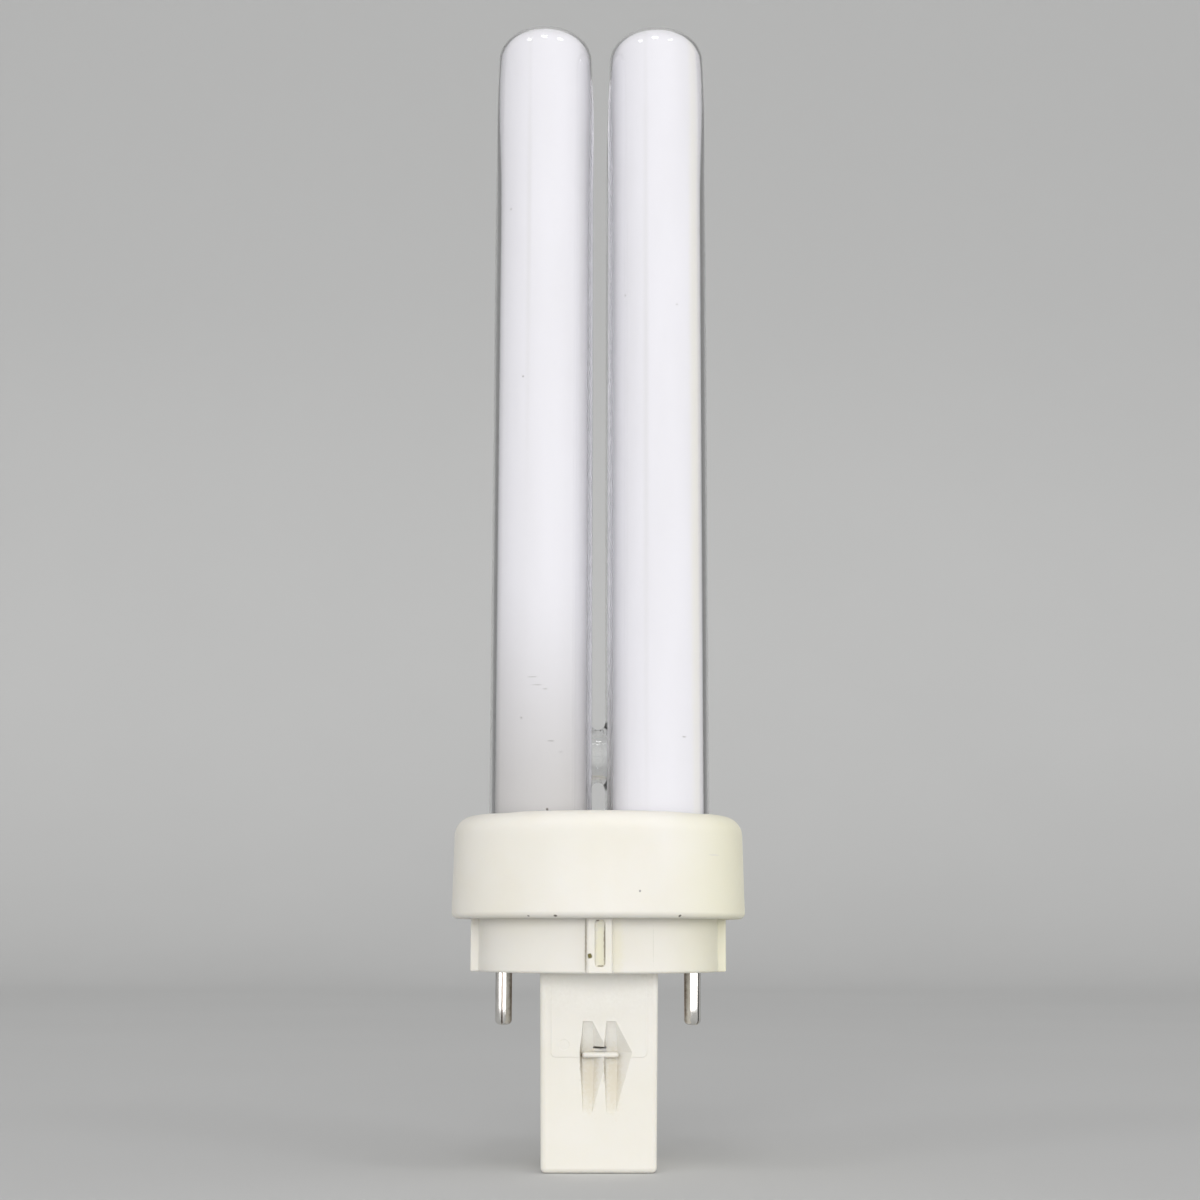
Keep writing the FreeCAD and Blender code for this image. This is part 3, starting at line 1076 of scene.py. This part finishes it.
@dataclass
class BaseShell(Assembly):
    """The drum with its flange and slotted pads, and the keyed post under it, moulded as one. Millimetres."""

    drum_radius: float = 14.25
    drum_wall: float = 1.25
    drum_floor: float = 1.6
    drum_edge: float = 0.32
    flange_radius: float = 15.86
    flange_low: float = 6.35
    flange_high: float = 7.85
    pad_reach: float = 15.15
    pad_depth: float = 1.8
    pad_width: float = 2.75
    pad_flank: Flat = (0.62, 0.12)
    pad_corner: float = 0.27
    pad_round: float = 0.22
    slot_width: float = 1.2
    slot_low: float = 0.75
    slot_high: float = 6.0
    slot_depth: float = 0.6
    slot_round: float = 0.45
    slot_flare: float = 0.04
    pin_spacing: float = 22.4
    pin_hole: float = 0.87
    post_width: float = 13.6
    post_taper: float = 0.4
    post_depth: float = 16.2
    post_length: float = 22.4
    post_corner: float = 0.7
    post_end_round: float = 0.65
    panel_width: float = 11.0
    panel_length: float = 9.5
    panel_height: float = 0.08
    panel_round: float = 0.5
    panel_bevel: Flat = (0.05, 0.04)
    cavity: Point = (10.4, 9.9, -20.8)
    cavity_corner: float = 0.3
    notch_left: float = -1.84
    notch_spacing: float = 2.69
    notch_top: float = -5.45
    notch_deepest: float = -8.95
    notch_bottom: float = -15.6
    notch_depth: float = 1.75
    notch_end_width: float = 1.08
    notch_floor_width: float = 1.33
    notch_slope: float = 0.4
    notch_ramp: float = 1.62
    notch_step: float = 0.2
    bar_height: float = 0.62
    bar_rise: float = 1.3
    bar_sunk: float = 0.7
    bar_round: float = 0.28
    pocket_width: float = 1.5
    pocket_height: float = 0.6
    slit_height: float = 0.24
    slit_depth: float = 1.0
    mark_place: Flat = (-4.0, -8.1)
    mark_radius: float = 0.6
    mark_depth: float = 0.03
    mark_slope: float = 0.05
    segments: int = 144
    round_steps: int = 8
    hole_segments: int = 32
    past: float = 1.0
    overlap: float = 0.1
    hair: float = 0.01

    def build(self) -> None:
        """Joins the drum, pads and post, then cuts the hollows, slots and notches and adds the bars."""
        self.face = -self.post_depth / 2
        self.groove_floor = self.face + self.notch_depth
        self.second_left = self.notch_left + self.notch_spacing
        shell = self._drum().piece("base_moulding")
        pad, slot = self._pad(), self._slot()
        added = [self._post(), *(pad.turned(k) for k in range(4)), *self._both(self._panel())]
        combine(shell, added, Join.ADD)
        cut = [self._hollow(), *(slot.turned(k) for k in range(4)), *self._pin_holes(), self._mark()]
        grooves = (self._groove(left) for left in (self.notch_left, self.second_left))
        for form in (*grooves, self._pocket(), self._slit()):
            cut += self._both(form)
        combine(shell, cut, Join.CUT)
        combine(shell, self._both(self._bar()), Join.ADD)
        shade_evenly(shell)
        self.pieces = [settle(shell, "base_plastic", "base_shell")]

    @staticmethod
    def _both(sketch: Sketch) -> list[Sketch]:
        """The form at the front and its twin at the back."""
        return [sketch, sketch.turned(2)]

    @staticmethod
    def _standing(outlines: Iterable[tuple[float, Profile]], x: float, z: float) -> Sketch:
        """Form whose upright outlines stand one behind another, each at its depth, about a point."""
        return Sketch().stack([[(x + across, y, z + up) for across, up in flat] for y, flat in outlines])

    def _drum(self) -> Sketch:
        """Drum, open at its top, with the flange.

        Returns:
            The closed form.
        """
        inner = self.drum_radius - self.drum_wall
        edge = self.drum_edge
        profile = [(0.0, 0.0), *arc((self.drum_radius - edge, edge), edge, -90, 0, self.round_steps)]
        profile += [(self.drum_radius, self.flange_low), (self.flange_radius, self.flange_low),
                    (self.flange_radius, self.flange_high), (inner, self.flange_high),
                    (inner, self.drum_floor), (0.0, self.drum_floor)]
        return Sketch().lathe(profile, self.segments)

    def _rounded_end(self, outline: Callable[[float, float], Profile], low: float, high: float,
                     radius: float) -> Sketch:
        """Upright form whose lower edge is rounded.

        Args:
            outline: gives the outline at a height, drawn in by a distance.
            low, high: its ends.
            radius: of the lower edge.

        Returns:
            The closed form.
        """
        rings = []
        for k in range(self.round_steps, -1, -1):
            turn = pi / 2 * k / self.round_steps
            z = low + radius * (1 - sin(turn))
            rings.append([(x, y, z) for x, y in outline(z, radius * (1 - cos(turn)))])
        rings.append([(x, y, high) for x, y in outline(high, 0.0)])
        return Sketch().stack(rings)

    def _post(self) -> Sketch:
        """Keyed post, narrower at its end.

        Returns:
            The closed form.
        """
        def outline(z: float, inset: float) -> Profile:
            """Rounded rectangle at a height."""
            width = self.post_width + self.post_taper * z / self.post_length
            return rounded_outline(width / 2 - inset, self.post_depth / 2 - inset, self.post_corner - inset)
        return self._rounded_end(outline, -self.post_length, self.drum_floor / 2, self.post_end_round)

    def _pad(self) -> Sketch:
        """Raised pad at the front of the drum, wider at its root, most to the left.

        Returns:
            The closed form.
        """
        left, right = self.pad_flank

        def outline(z: float, inset: float) -> Profile:
            """Rounded rectangle that widens towards the drum.

            Args:
                z: the height, which changes nothing here.
                inset: how far it is drawn in.

            Returns:
                The outline.
            """
            points = []
            for x, y in rounded_outline(self.pad_width / 2 - inset, self.pad_depth / 2 - inset,
                                        self.pad_corner - inset):
                depth = y + self.pad_depth / 2
                flank = depth / self.pad_depth * (left if x < 0 else right)
                points.append((x + copysign(flank, x), depth - self.pad_reach))
            return points
        return self._rounded_end(outline, self.hair, self.flange_low + self.overlap, self.pad_round)

    def _slot(self) -> Sketch:
        """Slot of the front pad, a little flared at its mouth.

        Returns:
            The closed form.
        """
        flare, depth = self.slot_flare, self.slot_depth
        width, height = self.slot_width / 2, (self.slot_high - self.slot_low) / 2
        layers = ((-0.3, flare), (0.0, flare), (flare, 0.0), (depth - 0.08, -0.04), (depth, -0.12))
        outlines = [(y - self.pad_reach, rounded_outline(width + s, height + s, self.slot_round + s))
                    for y, s in layers]
        return self._standing(outlines, 0.0, (self.slot_low + self.slot_high) / 2)

    def _panel(self) -> Sketch:
        """Raised panel on the front of the post.

        Returns:
            The closed form.
        """
        width, height = self.panel_width / 2, (self.panel_length + self.panel_round) / 2
        front = self.face - self.panel_height
        bevel, slope = self.panel_bevel
        outlines = [(y, rounded_outline(width - inset, height - inset, self.panel_round))
                    for y, inset in ((front, bevel), (front + slope, 0.0), (self.face + 0.5, 0.0))]
        return self._standing(outlines, 0.0, height - self.panel_length)

    def _hollow(self) -> Sketch:
        """Room for the starter inside the post.

        Returns:
            The closed form.
        """
        width, depth, bottom = self.cavity
        flat = rounded_outline(width / 2, depth / 2, self.cavity_corner, 3)
        return Sketch().stack([[(x, y, z) for x, y in flat] for z in (bottom, 2 * self.drum_floor)])

    def _pin_holes(self) -> list[Sketch]:
        """Holes for the necks of the pins.

        Returns:
            Both closed forms.
        """
        low, high = -self.past, 3 * self.past
        profile = [(0.0, low), (self.pin_hole, low), (self.pin_hole, high), (0.0, high)]
        places = [(side.value * self.pin_spacing / 2, 0.0) for side in Side]
        return [Sketch().lathe(profile, self.hole_segments, place) for place in places]

    def _mark(self) -> Sketch:
        """Shallow round ejector mark on the panel.

        Returns:
            The closed form.
        """
        front = self.face - self.panel_height
        wide, narrow = self.mark_radius + self.mark_slope, self.mark_radius - self.mark_slope
        outlines = [(front + depth, arc((0.0, 0.0), radius, 0, 360, self.hole_segments)[:-1])
                    for depth, radius in ((-0.2, wide), (0.0, wide), (self.mark_depth, narrow))]
        return self._standing(outlines, *self.mark_place)

    def _groove(self, left: float) -> Sketch:
        """One saw-tooth groove of the latch notch, drawn out past the post's face.

        Args:
            left: left edge of its floor.

        Returns:
            The closed form to cut.
        """
        right = left + self.notch_end_width
        low = left + self.notch_floor_width
        rim = [(left, self.notch_top, self.notch_step), (right, self.notch_top, self.notch_step),
               (low + self.notch_ramp, self.notch_deepest, 0.0), (right, self.notch_bottom, self.notch_step),
               (left, self.notch_bottom, self.notch_step), (left - self.notch_slope, self.notch_deepest, 0.0)]
        sketch = Sketch()
        outer = [sketch.point(x, self.face - self.past, z) for x, z, _ in rim]
        inner = [sketch.point(x, self.face + step, z) for x, z, step in rim]
        low_left, low_right = (sketch.point(x, self.groove_floor, self.notch_deepest) for x in (left, low))
        sketch.join(outer, inner)
        sketch.face(*outer)
        sketch.face(inner[0], inner[1], low_right, low_left)
        sketch.face(inner[3], inner[4], low_left, low_right)
        for first, second, end in ((1, 2, low_right), (2, 3, low_right), (4, 5, low_left), (5, 0, low_left)):
            sketch.face(inner[first], inner[second], end)
        return sketch

    def _bar(self) -> Sketch:
        """Bar across the deepest line of both grooves.

        Returns:
            The closed form.
        """
        right = self.second_left + self.notch_floor_width + self.overlap
        front, back = self.groove_floor - self.bar_rise, self.groove_floor + self.bar_sunk
        low = (self.notch_left - self.overlap, front, self.notch_deepest - self.bar_height)
        high = (right, back, self.notch_deepest)
        return Sketch().rounded_block(low, high, self.bar_round, self.round_steps)

    def _pocket(self) -> Sketch:
        """Small square pocket over the bar, up against the second groove.

        Returns:
            The closed form.
        """
        low = (self.second_left - self.pocket_width, self.face - self.past, self.notch_deepest)
        high = (self.second_left, self.groove_floor, self.notch_deepest + self.pocket_height)
        return Sketch().rounded_block(low, high, 0.06, 2)

    def _slit(self) -> Sketch:
        """Narrow slit at the top of the pocket, deeper than the notch.

        Returns:
            The closed form.
        """
        top = self.notch_deepest + self.pocket_height
        low = (self.second_left - self.pocket_width, self.groove_floor - self.past, top - self.slit_height)
        high = (self.second_left + 2 * self.hair, self.groove_floor + self.slit_depth, top + self.hair)
        return Sketch().rounded_block(low, high, 0.04, 2)


@dataclass
class Starter(Assembly):
    """The starter and wiring that the base hides."""

    nodes: tuple[str, ...] = ("starter_bottle", "starter_capacitor", "pin_lead_left", "pin_lead_right",
                              "starter_lead_left", "starter_lead_right")
    sharp: float = 28.0

    def build(self) -> None:
        """Smooths the shading of the hidden nodes."""
        self.pieces = [frame["nodes"][name] for name in self.nodes]
        for name, node in zip(self.nodes, self.pieces):
            soften(node, self.sharp)
            LOG.info("%s: CAD node kept", name)


@dataclass(frozen=True)
class SoftLamp:
    """One rectangular studio lamp, in metres and watts. It lights everything, or only the pieces it names."""

    name: str
    place: Point
    aim: Point
    size: Flat
    power: float
    colour: Colour = (1.0, 1.0, 1.0)
    mirrored: bool = False
    only: tuple[str, ...] = ()

    def build(self) -> None:
        """Puts the lamp in the scene."""
        data = bpy.data.lights.new(self.name, "AREA")
        data.shape = "RECTANGLE"
        data.size, data.size_y = self.size
        data.energy = self.power
        data.color = self.colour
        lamp = bpy.data.objects.new(self.name, data)
        bpy.context.scene.collection.objects.link(lamp)
        lamp.location = self.place
        lamp.visible_glossy = self.mirrored
        lamp.visible_transmission = self.mirrored
        lamp.visible_camera = False
        lamp.rotation_euler = (Vector(self.aim) - Vector(self.place)).to_track_quat("-Z", "Y").to_euler()
        if self.only:
            lit = bpy.data.collections.new(self.name + "_lit")
            for piece in self.only:
                lit.objects.link(bpy.data.objects[piece])
            lamp.light_linking.receiver_collection = lit


@dataclass
class Studio:
    """Pale floor that curves up behind, soft lamps, and the camera at the photograph's angle."""

    floor: float = -0.0224
    front: float = -2.2
    back: float = 0.75
    bend: float = 0.5
    bend_steps: int = 16
    height: float = 2.4
    half_width: float = 2.6
    pale: tuple[Colour, Colour] = ((0.58, 0.585, 0.59), (0.61, 0.615, 0.62))
    raised: Colour = (0.50, 0.505, 0.51)
    dark: Colour = (0.27, 0.27, 0.275)
    aim: Point = (0.0, 0.0, 0.045)
    sky_tint: Colour = (1.0, 0.99, 0.965)
    sky_slope: Point = (-0.15, 0.55, 0.75)
    sky_light: float = 1.3
    sky_dark: float = 0.48
    camera_place: Point = (-0.00340, -0.24474, 0.00432)
    yaw: float = 0.825
    pitch: float = 9.388
    roll: float = 0.124
    focal_pixels: float = 2024.5
    frame_pixels: float = 1200.0
    sensor: float = 36.0

    def build(self, effects: Effects) -> None:
        """Makes the floor, the lamps, the sky and the camera.

        Args:
            effects: the shared node groups.
        """
        self._sweep(effects)
        self._lamps()
        self._sky()
        self._camera()

    def _sweep(self, effects: Effects) -> None:
        """Floor and backdrop in one bent sheet, with painted shade higher up, and dark at the backdrop's ends
        to draw the glass's edges.

        Args:
            effects: the shared node groups.
        """
        sketch = Sketch()
        line = [(self.front, 0.0), (-0.4, 0.0), (0.0, 0.0), (self.back, 0.0)]
        line += arc((self.back, self.bend), self.bend, -90, 0, self.bend_steps)[1:]
        line.append((self.back + self.bend, self.height))
        rows = [[sketch.point(x / MM, y / MM, (z + self.floor) / MM)
                 for x in (-self.half_width, 0.0, self.half_width)] for y, z in line]
        for low, high in zip(rows, rows[1:]):
            for k in range(2):
                sketch.face(low[k], low[k + 1], high[k + 1], high[k])
        sweep = sketch.piece("studio_sweep", sharp_degrees=60.0)
        shade = Shade("pale_sweep", effects)
        colour = shade.blend(shade.mottle(size=120.0, detail=2.0), *self.pale)
        # Painted shade: the backdrop darkens towards its top.
        colour = shade.blend(shade.reach((0.0, 0.0, 1.0), start=-30.0, stop=800.0), colour, self.raised)
        behind = shade.reach((0.0, 1.0, 0.0), start=550.0, stop=900.0)
        for side in Side:
            end = shade.reach((side.value, 0.0, 0.0), start=500.0, stop=680.0)
            colour = shade.blend(shade.math("MULTIPLY", behind, end), colour, self.dark)
        shade.set(Base_Color=colour, Roughness=0.9, Specular_IOR_Level=0.1)
        dress(sweep, shade.material)

    def _lamps(self) -> None:
        """Broad lamp by the camera, low card for the pins, fills, panels overhead, strips between the tubes.

        The strips stand for the light that the coated tubes let through to the space between them.
        """
        pins = ("rolled_pin_left", "rolled_pin_right")
        skin = ("glass_envelope", "powder_coat", "collar_cup", "base_moulding")
        lamps = [
            SoftLamp("key", (-0.1, -1.15, 0.05), self.aim, (0.8, 0.8), 8.9, (0.985, 0.985, 1.0)),
            SoftLamp("low_card", (0.02, -0.3, 0.004), (0.02, 0.0, 0.004), (1.6, 0.052), 0.64,
                     mirrored=True, only=pins),
            SoftLamp("back", (0.15, 0.85, 0.16), self.aim, (0.4, 0.3), 4.0, only=skin)]
        for side, power in zip(Side, (2.2, 3.8)):
            name, sign = side.name.lower(), side.value
            lamps += [
                SoftLamp("fill_" + name, (sign * 0.95, -0.3, 0.06), self.aim, (0.6, 0.6), power, only=skin),
                SoftLamp("strip_" + name, (0.0, 0.0, 0.066), (0.0, sign * 0.01, 0.066), (0.003, 0.09),
                         0.0019)]
        lamps += [SoftLamp(f"panel_{k}", (x, -0.42, 0.85), self.aim, (0.15, 0.1), 0.4, mirrored=True)
                  for k, x in enumerate((-0.5, -0.04, 0.42))]
        for lamp in lamps:
            lamp.build()

    def _sky(self) -> None:
        """Pale surroundings, lightest low in front of the lamp and darkest high behind it."""
        world = bpy.data.worlds.new("surroundings")
        world.use_nodes = True
        sky = Wiring(world.node_tree)
        direction = sky.add("TexCoord").outputs["Generated"]
        slope = sky.vector("DOT_PRODUCT", {0: direction, 1: self.sky_slope}, "Value")
        level = sky.remap(slope, self.sky_light, self.sky_dark, -0.6, 0.75, "SMOOTHSTEP")
        sky.fill(sky.tree.nodes["Background"], {"Color": (*self.sky_tint, 1.0), "Strength": level})
        bpy.context.scene.world = world

    def _camera(self) -> None:
        """Camera fitted to the photograph."""
        data = bpy.data.cameras.new("camera")
        data.sensor_fit = "HORIZONTAL"
        data.sensor_width = self.sensor
        data.lens = self.focal_pixels / self.frame_pixels * self.sensor
        data.clip_start = 0.005
        data.clip_end = 20.0
        camera = bpy.data.objects.new("camera", data)
        bpy.context.scene.collection.objects.link(camera)
        stand = Matrix.Translation(self.camera_place)
        for angle, axis in ((-self.yaw, "Z"), (90.0 + self.pitch, "X"), (self.roll, "Z")):
            stand = stand @ Matrix.Rotation(radians(angle), 4, axis)
        camera.matrix_world = stand
        bpy.context.scene.camera = camera


def make_finishes(effects: Effects) -> dict[str, Material]:
    """Makes every finish of the lamp, with the dirt and the painted shade, light and reflections that each
    one carries.

    Args:
        effects: the shared node groups.

    Returns:
        The materials by name.
    """
    grey, dark, recess_painted_shade = (0.32, 0.31, 0.31), (0.10, 0.085, 0.07), (0.33, 0.295, 0.24)
    brown, olive, groove_floor_painted_shade = (0.14, 0.11, 0.07), (0.13, 0.11, 0.025), (0.68, 0.635, 0.53)
    slot_painted_bounce_light, pad_painted_shadow, faint = (0.80, 0.775, 0.62), (0.72, 0.69, 0.58), (0.66, 0.645, 0.58)
    pale, cream = (0.83, 0.815, 0.765), (0.71, 0.69, 0.655)
    scuff, smear_and_painted_reflection, seam_and_painted_reflection = (0.43, 0.42, 0.43), (0.645, 0.635, 0.665), (0.2, 0.15, 0.12)
    on_powder = (
        Spot((-10.66, -10.58, 90.83), 0.12, grey), Spot((-9.13, -11.67, 69.67), 0.13, grey),
        Spot((3.14, -10.63, 80.09), 0.12, grey), Spot((8.97, -11.74, 78.65), 0.1, grey),
        Spot((-9.02, -11.72, 29.0), 0.13, grey), Spot((-6.07, -12.11, 18.45), 0.16, dark),
        Spot((-5.77, -12.06, 26.31), 0.2, grey, (2.2, 1.0, 0.4)),
        Spot((9.59, -11.43, 26.89), 0.18, grey, (2.0, 1.0, 0.4)),
        Spot((-7.78, -12.1, 33.72), 0.14, scuff, (4.0, 2.0, 0.5)),
        Spot((-7.31, -12.16, 32.79), 0.12, scuff, (5.0, 2.0, 0.6)),
        Spot((-6.39, -12.15, 32.32), 0.13, scuff, (2.0, 2.0, 0.8)),
        Spot((-4.62, -11.67, 25.08), 0.16, scuff, (1.6, 2.0, 0.8)),
        # Painted reflections: long upright streaks, darker lines and one warmer strip, where the glass
        # mirrors its surroundings.
        Spot((-2.6, -9.9, 85.0), 0.35, smear_and_painted_reflection, (1.0, 2.0, 90.0), 1.0),
        Spot((-8.6, -11.8, 88.0), 0.3, smear_and_painted_reflection, (0.8, 2.0, 90.0), 1.0),
        Spot((11.0, -10.2, 66.0), 0.6, cream, (1.0, 2.0, 100.0), 0.8),
        Spot((5.4, -12.0, 70.0), 0.35, smear_and_painted_reflection, (0.8, 2.0, 120.0), 1.0))
    on_collar = (
        Spot((-6.02, -16.27, 18.2), 0.28, dark), Spot((-8.08, -15.36, 6.3), 0.2, dark),
        Spot((-5.05, -16.6, 6.3), 0.26, dark), Spot((8.97, -14.85, 6.4), 0.22, dark),
        Spot((4.41, -16.78, 9.14), 0.16, grey), Spot((13.1, -11.4, 13.36), 0.6, faint, (1.6, 1.8, 0.14)))
    on_base = (
        Spot((-1.12, -15.15, 1.97), 0.32, olive),
        # Painted shadow of the front pad on the drum to its right.
        Spot((1.95, -14.1, 3.1), 0.9, pad_painted_shadow, (0.7, 1.0, 3.6), 0.7),
        # Painted bounce light: a paler, yellower floor in the pad's slot.
        Spot((0.05, -14.4, 2.9), 0.5, slot_painted_bounce_light, (1.25, 1.2, 7.0), 0.6),
        # Painted shade: the pad's left flank, the slot's right wall and both its ends, and the left walls of
        # both grooves above and below the bar.
        Spot((-1.62, -14.55, 3.2), 0.2, recess_painted_shade, (0.9, 2.0, 17.0), 0.5),
        Spot((0.54, -14.45, 3.3), 0.13, recess_painted_shade, (1.0, 5.0, 21.0), 0.4),
        Spot((0.1, -14.45, 0.86), 0.12, recess_painted_shade, (3.6, 5.0, 0.8), 0.5),
        Spot((-0.3, -14.45, 5.9), 0.12, recess_painted_shade, (2.2, 5.0, 0.9), 0.5),
        Spot((-2.1, -7.3, -9.6), 0.19, recess_painted_shade, (1.0, 4.0, 20.0), 0.5),
        Spot((0.6, -7.2, -11.4), 0.19, recess_painted_shade, (1.0, 4.0, 9.0), 0.5),
        Spot((0.62, -7.2, -8.0), 0.19, recess_painted_shade, (0.9, 4.0, 4.4), 0.5),
        # Painted shadow in the slit over the bar.
        Spot((0.1, -5.9, -8.47), 0.3, brown, (3.2, 3.0, 0.55)),
        # Painted light: paler upper groove floors, and a paler post top where the drum shades it.
        *(Spot((x, -6.8, -6.9), 0.7, pale, (1.6, 2.0, 2.4), 0.8) for x in (-1.2, 1.5)),
        Spot((0.0, -8.1, -0.9), 1.0, pale, (7.0, 2.0, 2.4), 1.0),
        Spot((6.05, -12.9, 3.2), 0.5, faint, (0.12, 0.4, 4.2)),
        # Painted shade on the lower floors of both grooves.
        *(Spot((x, -6.2, -13.3), 0.7, groove_floor_painted_shade, (1.7, 2.66, 6.6), 0.4) for x in (-0.9, 1.8)))
    on_pins = (
        # Painted reflections of the post on the pins' inner sides, and a dark line along the left pin's seam.
        *(Spot((x, -0.35, -3.0), 0.3, seam_and_painted_reflection, (1.0, 1.6, 14.0), 0.9) for x in (10.3, -10.3)),
        Spot((-11.31, -0.66, -3.0), 0.12, seam_and_painted_reflection, (1.0, 1.4, 40.0)))
    finishes = (
        PowderFinish("white_powder", spots=on_powder), GlassFinish("clear_glass"),
        PlasticFinish("collar_plastic", spots=on_collar), PlasticFinish("base_plastic", spots=on_base),
        MetalFinish("bright_nickel", spots=on_pins),
        MetalFinish("dull_wire", (0.62, 0.6, 0.57), (0.5, 0.48, 0.45), 0.3, 0.5), ResinFinish("dipped_resin"))
    return {finish.name: finish.build(effects) for finish in finishes}


def main() -> None:
    """Builds the lamp's pieces in order and puts them in the studio."""
    logging.basicConfig(level=logging.INFO, format="%(name)s: %(message)s")
    effects = Effects()
    finish = make_finishes(effects)
    for assembly, names in ((GlassTubes(), ("clear_glass", "white_powder")), (Collar(), ("collar_plastic",)),
                            (BaseShell(), ("base_plastic",)), (RolledPins(), ("bright_nickel",)),
                            (Starter(), ("clear_glass", "dipped_resin", "dull_wire"))):
        assembly.build()
        assembly.dress(*(finish[name] for name in names))
    view = bpy.context.scene.view_settings
    view.view_transform = "Standard"
    view.look = "None"
    Studio().build(effects)


if __name__ == "__main__":
    main()
